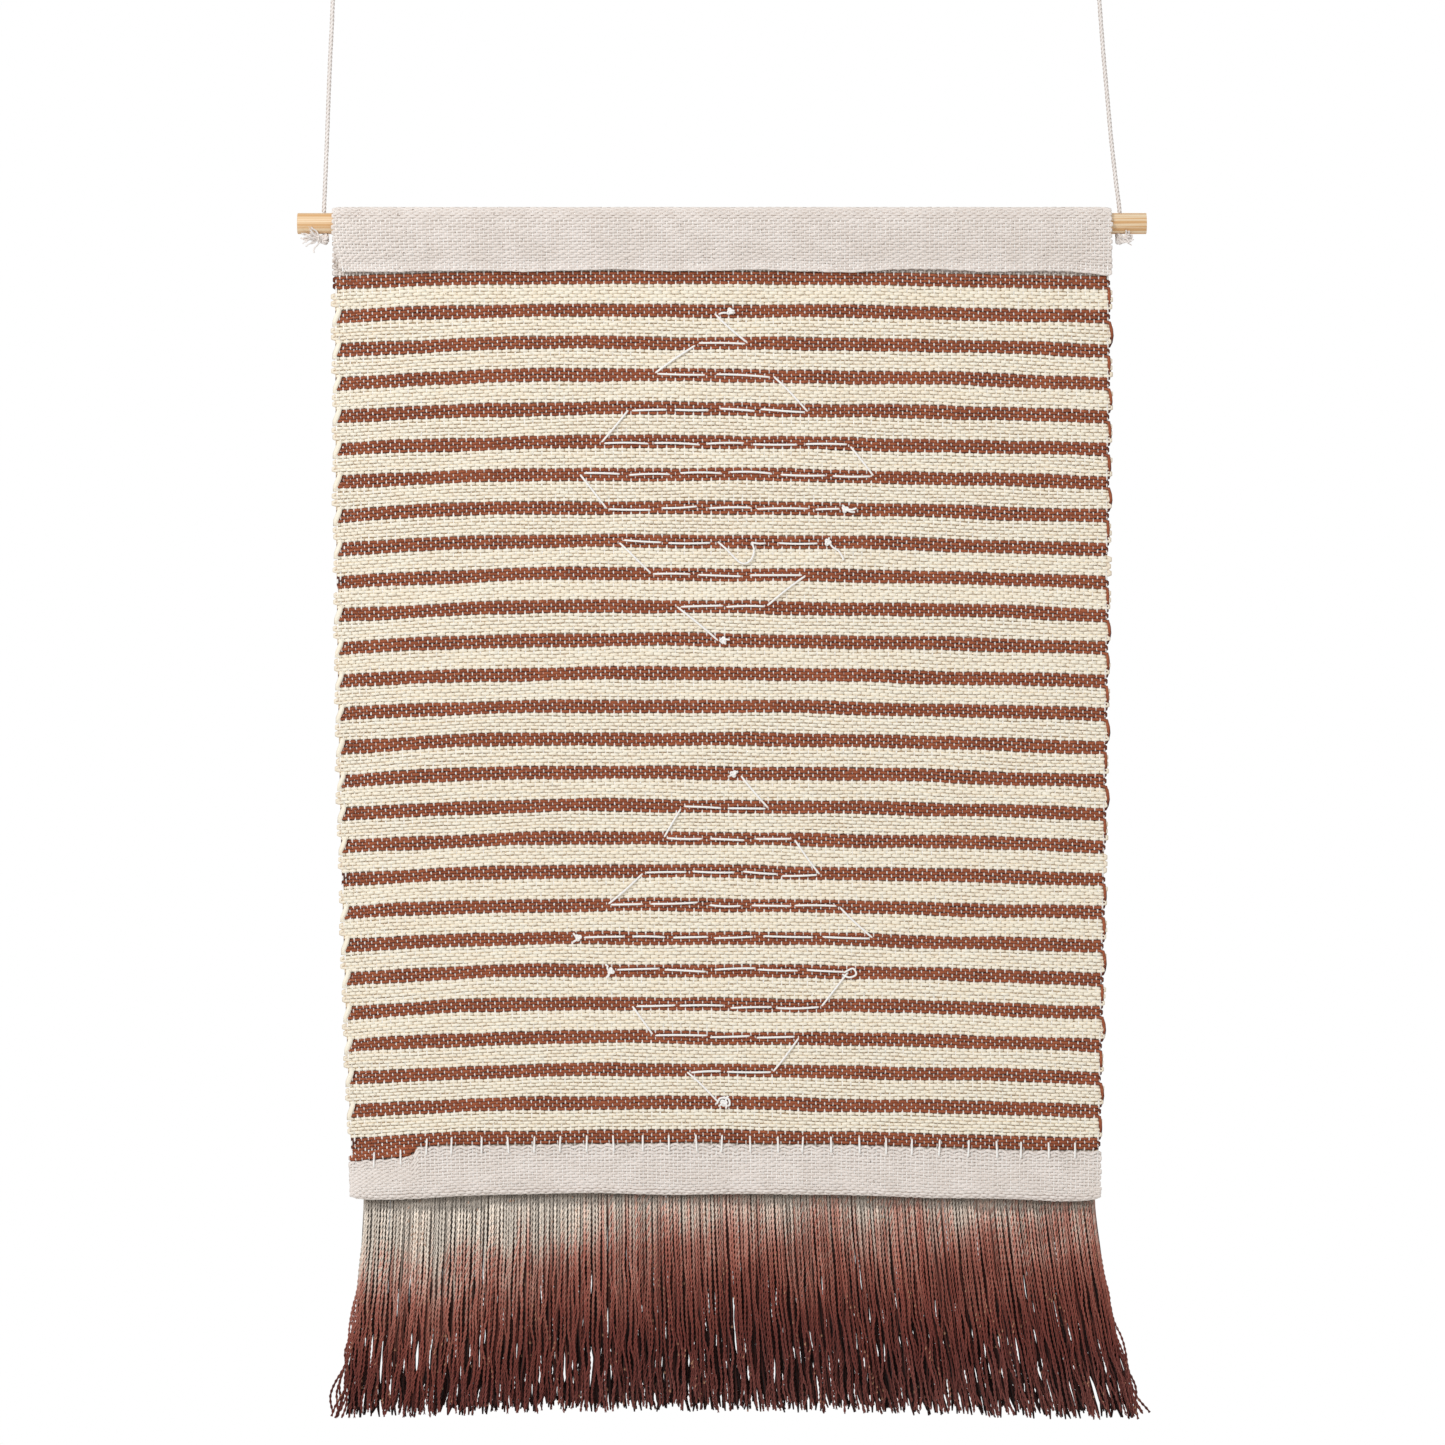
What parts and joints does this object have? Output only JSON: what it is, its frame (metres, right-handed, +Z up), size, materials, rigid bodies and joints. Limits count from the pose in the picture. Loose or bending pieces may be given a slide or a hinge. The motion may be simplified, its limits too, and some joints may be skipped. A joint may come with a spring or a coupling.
{
  "type": "tapestry wall hanging",
  "caption": "Handwoven striped cotton wall hanging in a sleeve on a pine dowel, with a hanging cord, stitched diamonds, a folded hem and a long dip-dyed fringe.",
  "frame": {"origin": "the middle of the cord's top stretch, between the two wall pegs that hold the piece up", "axes": "+X to the viewer's right along the dowel, +Z up, and the striped face looks along -Y"},
  "size_m": [0.485, 0.0174, 0.8277],
  "materials": {
    "pine": "sanded pine, waxed matt",
    "cotton_cord": "fine braided cotton cord",
    "greige_cloth": "plain-woven undyed cotton, matt",
    "terracotta_yarn": "dyed cotton weft, matt",
    "cream_yarn": "undyed cotton weft, matt",
    "warp_yarn": "thin white cotton warp",
    "white_thread": "white cotton thread",
    "fringe_yarn": "two-ply cotton, dip-dyed from undyed to dark red-brown"
  },
  "bodies": {
    "rod": {"dowel": "pine", "hanging_cord": "cotton_cord", "cord_knot_left": "cotton_cord", "cord_knot_right": "cotton_cord"},
    "cloth": {"rod_sleeve": "greige_cloth", "sleeve_seam_thread": "white_thread", "warp_threads": "warp_yarn", "terracotta_weft": "terracotta_yarn", "cream_weft": "cream_yarn", "hem_fold": "greige_cloth", "hem_whip_stitches": "white_thread", "upper_diamond_top_thread": "white_thread", "upper_diamond_bottom_thread": "white_thread", "lower_diamond_top_thread": "white_thread", "lower_diamond_bottom_thread": "white_thread", "fringe_header": "greige_cloth", "header_seam_thread": "white_thread"},
    "fringe_1": {"fringe_bundle_01": "fringe_yarn", "fringe_bundle_02": "fringe_yarn", "fringe_bundle_03": "fringe_yarn", "fringe_bundle_04": "fringe_yarn"},
    "fringe_2": {"fringe_bundle_05": "fringe_yarn", "fringe_bundle_06": "fringe_yarn", "fringe_bundle_07": "fringe_yarn", "fringe_bundle_08": "fringe_yarn"},
    "fringe_3": {"fringe_bundle_09": "fringe_yarn", "fringe_bundle_10": "fringe_yarn", "fringe_bundle_11": "fringe_yarn", "fringe_bundle_12": "fringe_yarn"},
    "fringe_4": {"fringe_bundle_13": "fringe_yarn", "fringe_bundle_14": "fringe_yarn", "fringe_bundle_15": "fringe_yarn", "fringe_bundle_16": "fringe_yarn"},
    "fringe_5": {"fringe_bundle_17": "fringe_yarn", "fringe_bundle_18": "fringe_yarn", "fringe_bundle_19": "fringe_yarn", "fringe_bundle_20": "fringe_yarn"},
    "fringe_6": {"fringe_bundle_21": "fringe_yarn", "fringe_bundle_22": "fringe_yarn", "fringe_bundle_23": "fringe_yarn", "fringe_bundle_24": "fringe_yarn"}
  },
  "joints": [
    {"name": "cloth_swing", "type": "hinge", "parent": "rod", "child": "cloth", "pos_m": [0, 0, -0.14], "axis": [-1, 0, 0], "range_deg": [-60, 60]},
    {"name": "fringe_1_swing", "type": "hinge", "parent": "cloth", "child": "fringe_1", "pos_m": [0, 0.0005, -0.7019], "axis": [-1, 0, 0], "range_deg": [-70, 70]},
    {"name": "fringe_2_swing", "type": "hinge", "parent": "cloth", "child": "fringe_2", "pos_m": [0, 0.0005, -0.69883], "axis": [-1, 0, 0], "range_deg": [-70, 70]},
    {"name": "fringe_3_swing", "type": "hinge", "parent": "cloth", "child": "fringe_3", "pos_m": [0, 0.0005, -0.69823], "axis": [-1, 0, 0], "range_deg": [-70, 70]},
    {"name": "fringe_4_swing", "type": "hinge", "parent": "cloth", "child": "fringe_4", "pos_m": [0, 0.0005, -0.69912], "axis": [-1, 0, 0], "range_deg": [-70, 70]},
    {"name": "fringe_5_swing", "type": "hinge", "parent": "cloth", "child": "fringe_5", "pos_m": [0, 0.0005, -0.7006], "axis": [-1, 0, 0], "range_deg": [-70, 70]},
    {"name": "fringe_6_swing", "type": "hinge", "parent": "cloth", "child": "fringe_6", "pos_m": [0, 0.0005, -0.70265], "axis": [-1, 0, 0], "range_deg": [-70, 70]}
  ]
}
